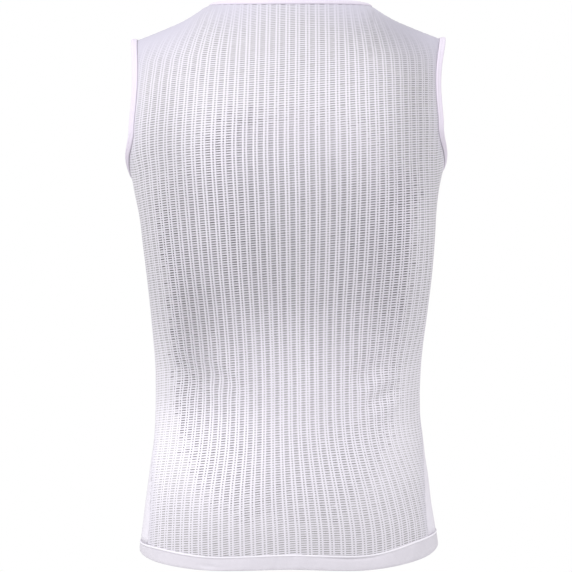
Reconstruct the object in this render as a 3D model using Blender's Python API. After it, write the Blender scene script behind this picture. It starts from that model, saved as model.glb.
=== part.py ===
"""Sleeveless knit base layer, hollow as it hangs on a wearer who isn't there.

The wearer faces -Y and the back of the garment faces +Y. Sizes are in mm until a mesh is made.
Heights are counted from the top of the back neck, so most of them are negative.
"""
import math

import bmesh
import bpy
import numpy as np

MM = 0.001

# Whole garment
TOP_OVER_MOUNT = 20.0    # the back neck stands this far over the line where the shoulders carry it
WALL = 1.2               # one layer of knit
SEAM_GAP = 0.3           # between two pieces that are sewn together
HEM_SEAM = -639.0        # where the panels end and the hem band starts
HEM_BOTTOM = -656.0
YOKE = -150.0            # from here up the panels lean in to the shoulders and the neck
FULLNESS = 0.10          # how much squarer than an ellipse a level of the body is

# One row for each level of the worn body: half widths to the wearer's left and right, and the
# depths (Y) of the middle of the back, the widest line, the middle of the front and the side seam.
LEVEL_COLUMNS = ("height", "left", "right", "back", "widest", "front", "seam")
LEVELS = (
    (-660, 177.5, 178.0, 119.0, 0, -98, 49),
    (-641, 176.5, 176.0, 118.5, 0, -97, 48),
    (-606, 172.5, 170.5, 116.5, 0, -95, 43),
    (-570, 168.0, 166.5, 112.0, 0, -92, 34),
    (-546, 165.0, 163.0, 107.0, 0, -91, 25),
    (-522, 161.5, 160.5, 101.5, 0, -90, 16),
    (-498, 159.5, 157.5, 97.0, 0, -90, 8),
    (-474, 159.0, 157.0, 93.5, 0, -91, 3),
    (-426, 159.5, 159.5, 92.0, 0, -96, 0),
    (-378, 163.5, 165.5, 97.0, 0, -103, 0),
    (-330, 168.5, 171.5, 104.0, 0, -110, -1),
    (-282, 174.5, 175.5, 110.5, -1, -116, -8),
    (-250, 178.5, 177.5, 113.5, -3, -119, -18),
    (-222, 184.5, 181.5, 115.5, -8, -120, -28),
    (-198, 190.5, 187.5, 116.5, -16, -119.5, -30),
    (-175, 200.5, 193.7, 116.5, -22, -118.5, -30),
    (-150, 204.5, 197.5, 116.0, -24, -118, -30),
    (-140, 204.5, 197.5, 116.0, -24, -118, -30),
)

# Armholes: the bottom lies on the side seam, and the edge rises from it in a U
ARMHOLE_BOTTOM = -206.0
ARMHOLE_BACK = 47.0      # depth of the U's back leg at the yoke
ARMHOLE_FRONT = -75.0    # depth of its front leg
ARMHOLE_ROUND = 0.75     # roundness of its bottom: 0.5 is an ellipse, 1 a parabola
ARMHOLE_BOW = {"left": 3.6, "right": 5.2}   # how far the legs curve in between yoke and shoulder

# Shoulders: the seam runs down the ridge from the neck to the tip
SHOULDER_SEAM = -2.0     # its depth
SHOULDER_TIP = 180.3     # distance of the tip from the middle
RIDGE = (                # distance out from the middle, height
    (85, 3.5),
    (97, -0.7),
    (113, -11.2),
    (125, -18.2),
    (145, -27.0),
    (165, -35.0),
    (181, -41.0),
)

# Neck: depth and height of its middle, and the powers that round it out towards its corners
NECK_HALF = {"left": 95.0, "right": 100.0}
NECK_COLUMNS = ("depth", "height", "bend", "depth_power", "height_power")
NECK = {
    "back": (66.0, -11.3, 2.2, 0.62, 0.75),
    "front": (-101.0, -74.0, 2.2, 0.50, 0.70),
}

# Profiles above the yoke: degrees that a panel turns on its way up to its top edge
TURN_AT_SHOULDER = {"back": 86.0, "front": 66.0}
TURN_AT_NECK = {"back": 14.0, "front": 30.0}
CORNER_FROM = 0.30       # between these shares of the neck's half width one profile turns
CORNER_TO = 1.10         # into the other

# Soft forms of the worn cloth: x, height, half width, half height, and how far each stands out
SWELLS = {
    "back": (
        (80, -165, 46, 75, 4.5),      # over the left shoulder blade
        (-80, -165, 46, 75, 4.0),     # over the right one
        (0, -400, 30, 120, -4.0),     # hollow along the spine
        (70, -610, 60, 45, 2.0),
        (-70, -610, 60, 45, 2.0),
    ),
    "front": (
        (75, -190, 60, 60, 4.0),
        (-75, -190, 60, 60, 4.0),
        (0, -470, 70, 110, 3.0),
    ),
}
# Drag lines across the waist, each from one x and height to another, with its half width and
# how far it stands out: a soft trough between two ridges
RIDGE_AWAY = 1.7         # half widths from a trough to its ridges
RIDGE_SHARE = 0.45       # their height as a share of its depth
CREASE_HALF = 0.42       # of its length, where a crease has faded by two thirds
CREASES = {
    "back": (
        (122, -395, 62, -462, 15, -2.4),
        (136, -452, 74, -498, 14, -1.8),
        (-118, -405, -58, -452, 16, -2.0),
        (-134, -470, -80, -520, 13, -1.6),
    ),
    "front": (
        (124, -402, 66, -448, 15, -2.2),
        (-128, -430, -60, -470, 16, -2.4),
        (-40, -505, 46, -516, 12, -1.4),
    ),
}

# Bindings: their widths, and how much they stand out from the panels, as a slope
ARMHOLE_BINDING = 8.0
NECK_BINDING = 5.6
ARMHOLE_FLARE = 0.5
UNDERARM_FLARE = 0.1      # at the bottom of the armhole, where the binding lies close
UNDERARM_REACH = 45.0     # height over which one slope turns into the other
NECK_FLARE = 0.35
BINDING_WALL = 2.2       # folded over the edge, so two layers and the panel between
BINDING_START = 0.5      # clear of the panels' edges
STITCHED = 0.6           # thickness at the stitches, as a share of the wall
FOLDED = 0.4             # and at the fold
FOLD_REACH = 1.0         # how far from its edge a fold starts to narrow

# Hem band: its wall, its seam's ridge, and where it runs, from the middle of the front by the
# right side, the back and the left side
HEM_WALL = 2.0
HEM_RIDGE = 1.5          # height of the ridge, as a share of the wall
HEM_RIDGE_TOP = 2.2      # distances of its top and its end from the seam
HEM_RIDGE_END = 4.4
HEM_FOLD = 1.4
HEM_COLUMNS = ("turn", "seam", "bottom")
HEM_LINE = (
    (-180, -638.0, -655.0),
    (-130, -631.0, -650.0),
    (-85, -627.5, -645.5),
    (-58, -630.0, -652.5),
    (-32, -639.5, -657.5),
    (0, -637.0, -654.5),
    (32, -641.5, -658.0),
    (58, -638.5, -656.0),
    (85, -640.0, -652.0),
    (130, -640.0, -656.0),
    (180, -638.0, -655.0),
)
HEM_REACH = 150.0        # the uneven hem is felt this far up the body
# Over that reach the right side hangs higher than the left: height, lift
ASKEW = ((-480, 5.0), (-222, 5.0), (-150, 3.0), (-60, 1.2), (0, 1.2))

# Net of the panels
SIDE_COLUMNS_OF_FACES = 7     # from an armhole to the neck corner
NECK_COLUMNS_OF_FACES = 20
NECK_SWEEP = 62.0             # degrees of a sine that draws them together at the corners
BODY_ROWS = 19
ARMHOLE_ROWS = 8
YOKE_ROWS = 12
HEM_STATIONS = 84

COLOURS = {
    "back_panel": (0.78, 0.76, 0.83),
    "front_panel": (0.80, 0.78, 0.84),
    "neck_binding": (0.86, 0.82, 0.90),
    "armhole_binding_left": (0.86, 0.82, 0.90),
    "armhole_binding_right": (0.82, 0.78, 0.87),
    "hem_band": (0.79, 0.77, 0.86),
}


def through(knots, values, at):
    """A smooth curve through a table's values, with each slope taken from the neighbours."""
    knots = np.asarray(knots, float)
    values = np.asarray(values, float)
    slopes = np.gradient(values, knots)
    at = np.clip(at, knots[0], knots[-1])
    i = np.clip(np.searchsorted(knots, at, side="right") - 1, 0, len(knots) - 2)
    step = knots[i + 1] - knots[i]
    t = (at - knots[i]) / step
    rise = t * t * (3 - 2 * t)
    return (values[i] * (1 - rise) + values[i + 1] * rise
            + step * t * (1 - t) * ((1 - t) * slopes[i] - t * slopes[i + 1]))


def level(name, height):
    """One column of LEVELS at any height."""
    column = LEVEL_COLUMNS.index(name)
    return through([row[0] for row in LEVELS], [row[column] for row in LEVELS], height)


def ease(t):
    t = np.clip(t, 0, 1)
    return t * t * (3 - 2 * t)


def body_point(height, turn):
    """A point of the body, with turn 0 at the middle of the back and +90 degrees at the left."""
    side, facing = np.sin(turn), np.cos(turn)
    left, right = level("left", height), level("right", height)
    widest = level("widest", height)
    reach = np.where(facing > 0, level("back", height) - widest, widest - level("front", height))
    x = side * ((left + right) / 2 + side * (left - right) / 2)
    y = widest + reach * facing * (1 + FULLNESS * side * side)
    return x, y


def turn_to(height, depth):
    """The turn at which the body's left or right side has the given depth."""
    widest = level("widest", height)
    behind = depth >= widest
    reach = np.where(behind, level("back", height) - widest, widest - level("front", height))
    share = np.abs(depth - widest) / reach
    facing = share
    for _ in range(8):
        facing = share / (1 + FULLNESS * (1 - facing * facing))
    turn = np.arccos(facing)
    return np.where(behind, turn, math.pi - turn)


def edge_turn(panel, height):
    """Where a panel ends at its sides: on the side seam, or on the armhole above it."""
    leg = ARMHOLE_BACK if panel == "back" else ARMHOLE_FRONT
    up = np.clip((height - ARMHOLE_BOTTOM) / (YOKE - ARMHOLE_BOTTOM), 0, 1)
    seam = level("seam", height)
    depth = seam + (leg - seam) * (1 - (1 - up) ** 2) ** ARMHOLE_ROUND
    turn = turn_to(height, depth)
    return turn if panel == "back" else math.pi - turn


def top_edge(panel, x):
    """The panel's top edge at a distance from the middle: the neck, then the shoulder seam."""
    out = np.abs(x)
    ridge_out, ridge_height = zip(*RIDGE)
    half = np.where(x > 0, NECK_HALF["left"], NECK_HALF["right"])
    depth, drop, bend, depth_power, height_power = NECK[panel]
    scoop = np.clip(1 - (out / half) ** bend, 0, 1)
    ridge = through(ridge_out, ridge_height, np.maximum(out, half))
    y = SHOULDER_SEAM + (depth - SHOULDER_SEAM) * scoop ** depth_power
    z = ridge + (drop - ridge) * scoop ** height_power
    return y, z


def relief(panel, x, height):
    """How far the cloth stands out of the plain form."""
    out = 0.0
    for place, middle, wide, tall, swell in SWELLS[panel]:
        out = out + swell * np.exp(-((x - place) / wide) ** 2 - ((height - middle) / tall) ** 2)
    for x0, z0, x1, z1, wide, depth in CREASES[panel]:
        length = math.hypot(x1 - x0, z1 - z0)
        along = ((x - x0) * (x1 - x0) + (height - z0) * (z1 - z0)) / length ** 2
        across = ((x - x0) * (z1 - z0) - (height - z0) * (x1 - x0)) / length
        fade = np.exp(-((along - 0.5) / CREASE_HALF) ** 4)
        trough = np.exp(-(across / wide) ** 2)
        ridge = np.exp(-((np.abs(across) - RIDGE_AWAY * wide) / wide) ** 2)
        out = out + depth * fade * (trough - RIDGE_SHARE * ridge)
    return out


def panel_point(panel, u, v):
    """A point of a panel, in mm.

    u runs from -1 at the wearer's right edge to 1 at the left one. v runs from 0 at the hem to 1
    at the yoke, and on to 2 at the neck and the shoulder seams.
    """
    u, v = np.broadcast_arrays(np.asarray(u, float), np.asarray(v, float))
    height = HEM_SEAM + (YOKE - HEM_SEAM) * np.minimum(v, 1)
    rise_to_top = np.clip(v - 1, 0, 1)
    edge = edge_turn(panel, height)
    turn = u * edge
    around = turn if panel == "back" else np.where(turn >= 0, math.pi - turn, -math.pi - turn)
    x, y = body_point(height, around)
    side = np.sin(turn)
    facing = np.cos(turn) * (1 if panel == "back" else -1)

    top_x = SHOULDER_TIP * side / np.sin(edge)
    top_y, top_z = top_edge(panel, top_x)
    half = np.where(top_x > 0, NECK_HALF["left"], NECK_HALF["right"])
    to_shoulder = ease((np.abs(top_x) / half - CORNER_FROM) / (CORNER_TO - CORNER_FROM))
    at_neck, at_shoulder = TURN_AT_NECK[panel], TURN_AT_SHOULDER[panel]
    bend = np.radians(at_neck + (at_shoulder - at_neck) * to_shoulder)
    rise = np.sin(bend * rise_to_top) / np.sin(bend)
    fall = (np.cos(bend * rise_to_top) - np.cos(bend)) / (1 - np.cos(bend))
    bow = np.where(u > 0, ARMHOLE_BOW["left"], -ARMHOLE_BOW["right"]) * np.abs(u) ** 3
    bow = bow * np.sin(math.pi * rise_to_top ** 0.7) ** 2
    z = height + (top_z - height) * rise
    x = x + (top_x - x) * rise - bow
    y = top_y + (y - top_y) * np.where(v > 1, fall, 1)

    out = relief(panel, x, z) * (1 - rise_to_top) * (1 - np.abs(u) ** 6)
    x = x + out * side
    y = y + out * facing
    return hung(x, y, z, around)


def hem_shift(turn, line):
    """How far the hem's seam or its bottom lies over its mean height, round the body."""
    column = HEM_COLUMNS.index(line)
    mean = HEM_SEAM if line == "seam" else HEM_BOTTOM
    turns = [math.radians(row[0]) for row in HEM_LINE]
    return through(turns, [row[column] for row in HEM_LINE], turn) - mean


def hung(x, y, z, turn):
    """The points as the garment hangs, with an uneven hem and its right side a little up."""
    askew_height, lift = zip(*ASKEW)
    near_hem = ease(1 - (z - HEM_SEAM) / HEM_REACH)
    askew = -np.interp(z, askew_height, lift) * np.sin(turn)
    return np.stack([x, y, z + askew + (hem_shift(turn, "seam") - askew) * near_hem], axis=-1)


def panel_normal(panel, u, v):
    """The outward direction of a panel."""
    step = 0.002
    u = np.clip(np.asarray(u, float), -1 + step, 1 - step)
    v = np.clip(np.asarray(v, float), step, 2 - step)
    across = panel_point(panel, u + step, v) - panel_point(panel, u - step, v)
    upward = panel_point(panel, u, v + step) - panel_point(panel, u, v - step)
    normal = np.cross(upward, across) if panel == "back" else np.cross(across, upward)
    return unit(normal)


def unit(vectors):
    return vectors / np.linalg.norm(vectors, axis=-1, keepdims=True)


def yoke_station(height):
    return (height - HEM_SEAM) / (YOKE - HEM_SEAM)


def column_stations(panel):
    """u of each line of the panel's net, closer together towards the neck corners."""
    edge = float(edge_turn(panel, YOKE))
    corner = {}
    for side, half in NECK_HALF.items():
        corner[side] = math.asin(half / SHOULDER_TIP * math.sin(edge)) / edge
    middle = (corner["left"] - corner["right"]) / 2
    reach = (corner["left"] + corner["right"]) / 2
    sweep = math.radians(NECK_SWEEP)
    angles = np.linspace(-sweep, sweep, NECK_COLUMNS_OF_FACES + 1)
    neck = middle + reach * np.sin(angles) / math.sin(sweep)
    right = np.linspace(-1, -corner["right"], SIDE_COLUMNS_OF_FACES + 1)[:-1]
    left = np.linspace(corner["left"], 1, SIDE_COLUMNS_OF_FACES + 1)[1:]
    return np.concatenate([right, neck, left])


def row_stations():
    """v of each row of the panel's net: the body, the U of the armhole and the yoke."""
    bottom = yoke_station(ARMHOLE_BOTTOM)
    body = np.linspace(0, bottom, BODY_ROWS + 1)[:-1]
    angles = np.linspace(0, math.pi / 2, ARMHOLE_ROWS + 1)[:-1]
    armhole = bottom + (1 - bottom) * (1 - np.cos(angles))
    yoke = np.linspace(1, 2, YOKE_ROWS + 1)
    return np.concatenate([body, armhole, yoke])


def material(name):
    colour = COLOURS[name]
    cloth = bpy.data.materials.new(name + "_cloth")
    cloth.use_nodes = True
    shader = cloth.node_tree.nodes["Principled BSDF"]
    shader.inputs["Base Color"].default_value = (*colour, 1)
    shader.inputs["Roughness"].default_value = 0.85
    shader.inputs["Metallic"].default_value = 0.0
    return cloth


def place(name, mesh_data):
    """Gives a finished bmesh its object, its material and smooth faces."""
    mesh = bpy.data.meshes.new(name)
    mesh_data.to_mesh(mesh)
    mesh_data.free()
    mesh.materials.append(material(name))
    mesh.shade_smooth()
    piece = bpy.data.objects.new(name, mesh)
    bpy.context.collection.objects.link(piece)
    return piece


def make_panel(name, panel):
    """One knit panel: a net of its own width and length, laid on the body and given its wall."""
    columns, rows = column_stations(panel), row_stations()
    sheet = bmesh.new()
    bmesh.ops.create_grid(sheet, x_segments=len(columns) - 1, y_segments=len(rows) - 1, size=1)
    sheet.verts.ensure_lookup_table()
    u, v = np.meshgrid(columns, rows)
    points = panel_point(panel, u, v)
    points = inset_edges(points)
    for vertex, point in zip(sheet.verts, points.reshape(-1, 3)):
        vertex.co = (point + (0, 0, TOP_OVER_MOUNT)) * MM
    if panel == "back":
        bmesh.ops.reverse_faces(sheet, faces=sheet.faces)
    piece = place(name, sheet)
    wall = piece.modifiers.new("wall", "SOLIDIFY")
    wall.thickness = WALL * MM
    wall.offset = 0
    return piece


def inset_edges(points):
    """Draws the outermost lines of a net in, so that its wall stands clear of what is sewn to it.

    The walls of the two panels lean together over the shoulder, so the top edge draws in by more.
    """
    moved = points.copy()
    for edge, inner, distance in ((0, 1, SEAM_GAP / 2), (-1, -2, SEAM_GAP)):
        moved[edge] += unit(points[inner] - points[edge]) * distance
    for edge, inner in ((0, 1), (-1, -2)):
        moved[:, edge] += unit(points[:, inner] - points[:, edge]) * SEAM_GAP / 2
    return moved


def armhole_path(side):
    """The seam line round an armhole, with the outward direction and the way to the cloth."""
    sign = 1 if side == "left" else -1
    rows = row_stations()
    rise = rows[rows >= yoke_station(ARMHOLE_BOTTOM)]
    parts = []
    for panel, stations in (("back", rise[::-1]), ("front", rise[1:-1])):
        seam = panel_point(panel, sign, stations)
        to_cloth = panel_point(panel, sign * 0.97, stations) - seam
        parts.append((seam, panel_normal(panel, sign, stations), to_cloth))
    return [np.vstack(group) for group in zip(*parts)]


def armhole_flare(path):
    """How much the binding stands out at each station: hardly at all under the arm."""
    height = path[:, 2]
    share = ease((height - height.min()) / UNDERARM_REACH)
    return (UNDERARM_FLARE + (ARMHOLE_FLARE - UNDERARM_FLARE) * share)[:, None]


def neck_path():
    """The seam line round the neck, with the same two directions."""
    parts = []
    for panel in ("back", "front"):
        u = column_stations(panel)[SIDE_COLUMNS_OF_FACES:-SIDE_COLUMNS_OF_FACES]
        if panel == "front":
            u = u[-2:0:-1]
        seam = panel_point(panel, u, 2.0)
        parts.append((seam, panel_normal(panel, u, 2.0), panel_point(panel, u, 1.97) - seam))
    return [np.vstack(group) for group in zip(*parts)]


def smooth_round(vectors, passes):
    for _ in range(passes):
        vectors = (np.roll(vectors, 1, axis=0) + 2 * vectors + np.roll(vectors, -1, axis=0)) / 4
    return vectors


def make_band(name, path, outward, to_cloth, flare, section):
    """A closed band sewn along a seam: a section carried round the path, standing off the cloth.

    The section gives its points at a place on the seam, as (distance from the seam, distance out).
    """
    along = unit(np.roll(path, -1, axis=0) - np.roll(path, 1, axis=0))
    outward = unit(smooth_round(unit(outward), 2))
    away = np.cross(along, outward)
    away *= np.sign(-(away * to_cloth).sum(axis=1, keepdims=True))
    away = unit(smooth_round(unit(away), 2))
    reach = unit(away + flare * outward)
    across = unit(outward - (outward * reach).sum(axis=1, keepdims=True) * reach)

    band = bmesh.new()
    rings = []
    for seam, far_way, out_way in zip(path, reach, across):
        points = [seam + far * far_way + out * out_way for far, out in section(seam)]
        rings.append([band.verts.new((point + (0, 0, TOP_OVER_MOUNT)) * MM) for point in points])
    for ring, following in zip(rings, rings[1:] + rings[:1]):
        for corner in range(len(ring)):
            other = (corner + 1) % len(ring)
            band.faces.new((ring[corner], ring[other], following[other], following[corner]))
    bmesh.ops.recalc_face_normals(band, faces=band.faces)
    return place(name, band)


def binding_section(width):
    """A strip of elastic folded over the edge: flat, with round sides, thinner at the stitches."""
    half = BINDING_WALL / 2
    full = BINDING_START + FOLD_REACH
    points = (
        (BINDING_START, STITCHED * half),
        (full, half),
        (width - FOLD_REACH, half),
        (width, FOLDED * half),
        (width, -FOLDED * half),
        (width - FOLD_REACH, -half),
        (full, -half),
        (BINDING_START, -STITCHED * half),
    )
    return lambda seam: points


def hem_section(seam):
    """The hem band's doubled knit, with the seam's ridge at its top and a round fold at its bottom."""
    half = HEM_WALL / 2
    turn = np.arctan2(seam[0] / level("left", HEM_SEAM), seam[1] / level("back", HEM_SEAM))
    tall = HEM_SEAM - HEM_BOTTOM + hem_shift(turn, "seam") - hem_shift(turn, "bottom")
    return (
        (SEAM_GAP / 2, STITCHED * half),
        (HEM_RIDGE_TOP, HEM_RIDGE * half),
        (HEM_RIDGE_END, half),
        (tall - HEM_FOLD, half),
        (tall, FOLDED * half),
        (tall, -FOLDED * half),
        (tall - HEM_FOLD, -half),
        (SEAM_GAP / 2, -half),
    )


def hem_path():
    """The seam line round the hem, with the outward direction and the way to the cloth."""
    turns = np.linspace(-math.pi, math.pi, HEM_STATIONS, endpoint=False)
    heights = np.full_like(turns, HEM_SEAM)
    x, y = body_point(heights, turns)
    x_below, y_below = body_point(heights - 1, turns)
    up = np.stack([x - x_below, y - y_below, np.ones_like(turns)], axis=-1)
    ahead = body_point(heights, turns + 0.01)
    along = np.stack([ahead[0] - x, ahead[1] - y, np.zeros_like(turns)], axis=-1)
    return hung(x, y, heights, turns), unit(np.cross(along, up)) * -1, up


def build():
    for thing in list(bpy.data.objects):
        bpy.data.objects.remove(thing)
    make_panel("back_panel", "back")
    make_panel("front_panel", "front")
    armhole_section = binding_section(ARMHOLE_BINDING)
    for side in ("left", "right"):
        edge = armhole_path(side)
        flare = armhole_flare(edge[0])
        make_band("armhole_binding_" + side, *edge, flare, armhole_section)
    make_band("neck_binding", *neck_path(), NECK_FLARE, binding_section(NECK_BINDING))
    make_band("hem_band", *hem_path(), 0.0, hem_section)


build()
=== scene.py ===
# Sleeveless base layer, hollow as on a wearer, seen from behind: an open mesh back, a fine
# ribbed front, folded bindings round the neck and the armholes, and a turned hem band.
import math

import bmesh
import bpy
import numpy as np
from mathutils import Matrix, Vector


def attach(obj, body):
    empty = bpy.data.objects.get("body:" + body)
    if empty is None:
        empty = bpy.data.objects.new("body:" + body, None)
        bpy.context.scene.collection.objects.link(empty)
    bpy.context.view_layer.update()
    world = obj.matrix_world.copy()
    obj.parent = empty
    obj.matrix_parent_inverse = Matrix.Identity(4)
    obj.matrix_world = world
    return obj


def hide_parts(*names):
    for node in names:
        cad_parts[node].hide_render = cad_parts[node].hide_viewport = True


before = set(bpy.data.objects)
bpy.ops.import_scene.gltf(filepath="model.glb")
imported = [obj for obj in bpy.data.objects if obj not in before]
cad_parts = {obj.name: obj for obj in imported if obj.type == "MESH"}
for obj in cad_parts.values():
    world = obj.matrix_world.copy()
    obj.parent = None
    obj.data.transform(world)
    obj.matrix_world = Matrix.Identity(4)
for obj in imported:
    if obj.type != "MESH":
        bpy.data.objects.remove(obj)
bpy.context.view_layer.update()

MM = 0.001
TOUCHING = 1e-6              # metres within which two corners are one

# --- Back panel ---------------------------------------------------------------------------------
# One layer of open polyester knit. Every repeat has a ladder of wide slots, where needles are
# left out, and a line of small holes between two plain wales. It is cut to the body's form.
TOP_OVER_SHOULDERS = 20.0
HEM_SEAM, HEM_BOTTOM = -639.0, -656.0
YOKE = -150.0
FULLNESS = 0.10
LEVELS = {
    "height": (-660, -641, -606, -570, -546, -522, -498, -474, -426, -378, -330, -282, -250,
               -222, -198, -175, -150, -140),
    "left": (177.5, 176.5, 172.5, 168, 165, 161.5, 159.5, 159, 159.5, 163.5, 168.5, 174.5,
             178.5, 184.5, 190.5, 200.5, 204.5, 204.5),
    "right": (178, 176, 170.5, 166.5, 163, 160.5, 157.5, 157, 159.5, 165.5, 171.5, 175.5,
              177.5, 181.5, 187.5, 193.7, 197.5, 197.5),
    "back": (119, 118.5, 116.5, 112, 107, 101.5, 97, 93.5, 92, 97, 104, 110.5, 113.5, 115.5,
             116.5, 116.5, 116, 116),
    "widest": (0, 0, 0, 0, 0, 0, 0, 0, 0, 0, 0, -1, -3, -8, -16, -22, -24, -24),
    "front": (-98, -97, -95, -92, -91, -90, -90, -91, -96, -103, -110, -116, -119, -120,
              -119.5, -118.5, -118, -118),
    "seam": (49, 48, 43, 34, 25, 16, 8, 3, 0, 0, -1, -8, -18, -28, -30, -30, -30, -30),
}
ARMHOLE_BOTTOM = -206.0
ARMHOLE_LEG = {"back": 47.0, "front": -75.0}
ARMHOLE_ROUND = 0.75
ARMHOLE_BOW = {"left": 3.6, "right": 5.2}
SHOULDER_SEAM = -2.0
SHOULDER_TIP = 180.3
RIDGE_OUT = (85, 97, 113, 125, 145, 165, 181)
RIDGE_HEIGHT = (3.5, -0.7, -11.2, -18.2, -27.0, -35.0, -41.0)
NECK_HALF = {"left": 95.0, "right": 100.0}
NECK = {"back": (66.0, -11.3, 2.2, 0.62, 0.75), "front": (-101.0, -74.0, 2.2, 0.50, 0.70)}
TURN_AT_SHOULDER = {"back": 86.0, "front": 66.0}
TURN_AT_NECK = {"back": 14.0, "front": 30.0}
CORNER_FROM, CORNER_TO = 0.30, 1.10
SWELLS = {
    "back": ((80, -165, 46, 75, 4.5), (-80, -165, 46, 75, 4.0), (0, -400, 30, 120, -4.0),
             (70, -610, 60, 45, 2.0), (-70, -610, 60, 45, 2.0)),
    "front": ((75, -190, 60, 60, 4.0), (-75, -190, 60, 60, 4.0), (0, -470, 70, 110, 3.0)),
}
RIDGE_AWAY, RIDGE_SHARE, CREASE_HALF = 1.7, 0.45, 0.42
CREASES = {
    "back": ((140, -418, 98, -454, 14, -2.4), (98, -424, 52, -460, 9, -2.2),
             (-112, -424, -72, -456, 14, -2.2), (-128, -456, -86, -480, 9, -2.4)),
    "front": ((124, -402, 66, -448, 15, -2.2), (-128, -430, -60, -470, 16, -2.4),
              (-40, -505, 46, -516, 12, -1.4)),
}
HEM_TURN = (-180, -130, -85, -58, -32, 0, 32, 58, 85, 130, 180)
HEM_LINE = {
    "seam": (-638, -631, -627.5, -630, -639.5, -637, -641.5, -638.5, -640, -640, -638),
    "bottom": (-655, -650, -645.5, -652.5, -657.5, -654.5, -658, -656, -652, -656, -655),
}
HEM_REACH = 150.0
ASKEW_HEIGHT = (-480, -222, -150, -60, 0)
ASKEW_LIFT = (5.0, 5.0, 3.0, 1.2, 1.2)
SOLVE_PASSES = 8             # of finding the turn at which the body has a given depth
BOW_POWER, BOW_EARLY = 3, 0.7
RELIEF_FADES = 6             # power with which the relief fades towards the panel's edges


def through(knots, values, at):
    """A smooth curve through a table's values."""
    knots = np.asarray(knots, float)
    values = np.asarray(values, float)
    slopes = np.gradient(values, knots)
    at = np.clip(at, knots[0], knots[-1])
    i = np.clip(np.searchsorted(knots, at, side="right") - 1, 0, len(knots) - 2)
    step = knots[i + 1] - knots[i]
    t = (at - knots[i]) / step
    rise = t * t * (3 - 2 * t)
    return (values[i] * (1 - rise) + values[i + 1] * rise
            + step * t * (1 - t) * ((1 - t) * slopes[i] - t * slopes[i + 1]))


def level(name, height):
    return through(LEVELS["height"], LEVELS[name], height)


def ease(t):
    t = np.clip(t, 0, 1)
    return t * t * (3 - 2 * t)


def unit(vectors):
    return vectors / np.linalg.norm(vectors, axis=-1, keepdims=True)


def body_point(height, turn):
    """A point round the body, with turn 0 at the middle of the back and 90 degrees at the left."""
    side, facing = np.sin(turn), np.cos(turn)
    left, right = level("left", height), level("right", height)
    widest = level("widest", height)
    reach = np.where(facing > 0, level("back", height) - widest, widest - level("front", height))
    x = side * ((left + right) / 2 + side * (left - right) / 2)
    return x, widest + reach * facing * (1 + FULLNESS * side * side)


def edge_turn(panel, height):
    """The turn at which a panel's cut ends: the side seam, or the armhole's U above it."""
    up = np.clip((height - ARMHOLE_BOTTOM) / (YOKE - ARMHOLE_BOTTOM), 0, 1)
    seam = level("seam", height)
    depth = seam + (ARMHOLE_LEG[panel] - seam) * (1 - (1 - up) ** 2) ** ARMHOLE_ROUND
    widest = level("widest", height)
    behind = depth >= widest
    reach = np.where(behind, level("back", height) - widest, widest - level("front", height))
    share = np.abs(depth - widest) / reach
    facing = share
    for _ in range(SOLVE_PASSES):
        facing = share / (1 + FULLNESS * (1 - facing * facing))
    turn = np.where(behind, np.arccos(facing), math.pi - np.arccos(facing))
    return turn if panel == "back" else math.pi - turn


def relief(panel, x, height):
    """Shoulder blades, spine and drag lines, as a distance out of the plain form."""
    out = 0.0
    for place, middle, wide, tall, swell in SWELLS[panel]:
        out = out + swell * np.exp(-((x - place) / wide) ** 2 - ((height - middle) / tall) ** 2)
    for x0, z0, x1, z1, wide, depth in CREASES[panel]:
        length = math.hypot(x1 - x0, z1 - z0)
        along = ((x - x0) * (x1 - x0) + (height - z0) * (z1 - z0)) / length ** 2
        across = ((x - x0) * (z1 - z0) - (height - z0) * (x1 - x0)) / length
        trough = np.exp(-(across / wide) ** 2)
        ridge = np.exp(-((np.abs(across) - RIDGE_AWAY * wide) / wide) ** 2)
        out = out + depth * np.exp(-((along - 0.5) / CREASE_HALF) ** 4) * (trough - RIDGE_SHARE * ridge)
    return out


def hem_shift(turn, line):
    mean = HEM_SEAM if line == "seam" else HEM_BOTTOM
    return through(np.radians(HEM_TURN), HEM_LINE[line], turn) - mean


def hung(x, y, z, turn):
    """The cloth as it hangs: an uneven hem, and the right side a little higher."""
    near_hem = ease(1 - (z - HEM_SEAM) / HEM_REACH)
    askew = -np.interp(z, ASKEW_HEIGHT, ASKEW_LIFT) * np.sin(turn)
    return np.stack([x, y, z + askew + (hem_shift(turn, "seam") - askew) * near_hem], axis=-1)


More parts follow.
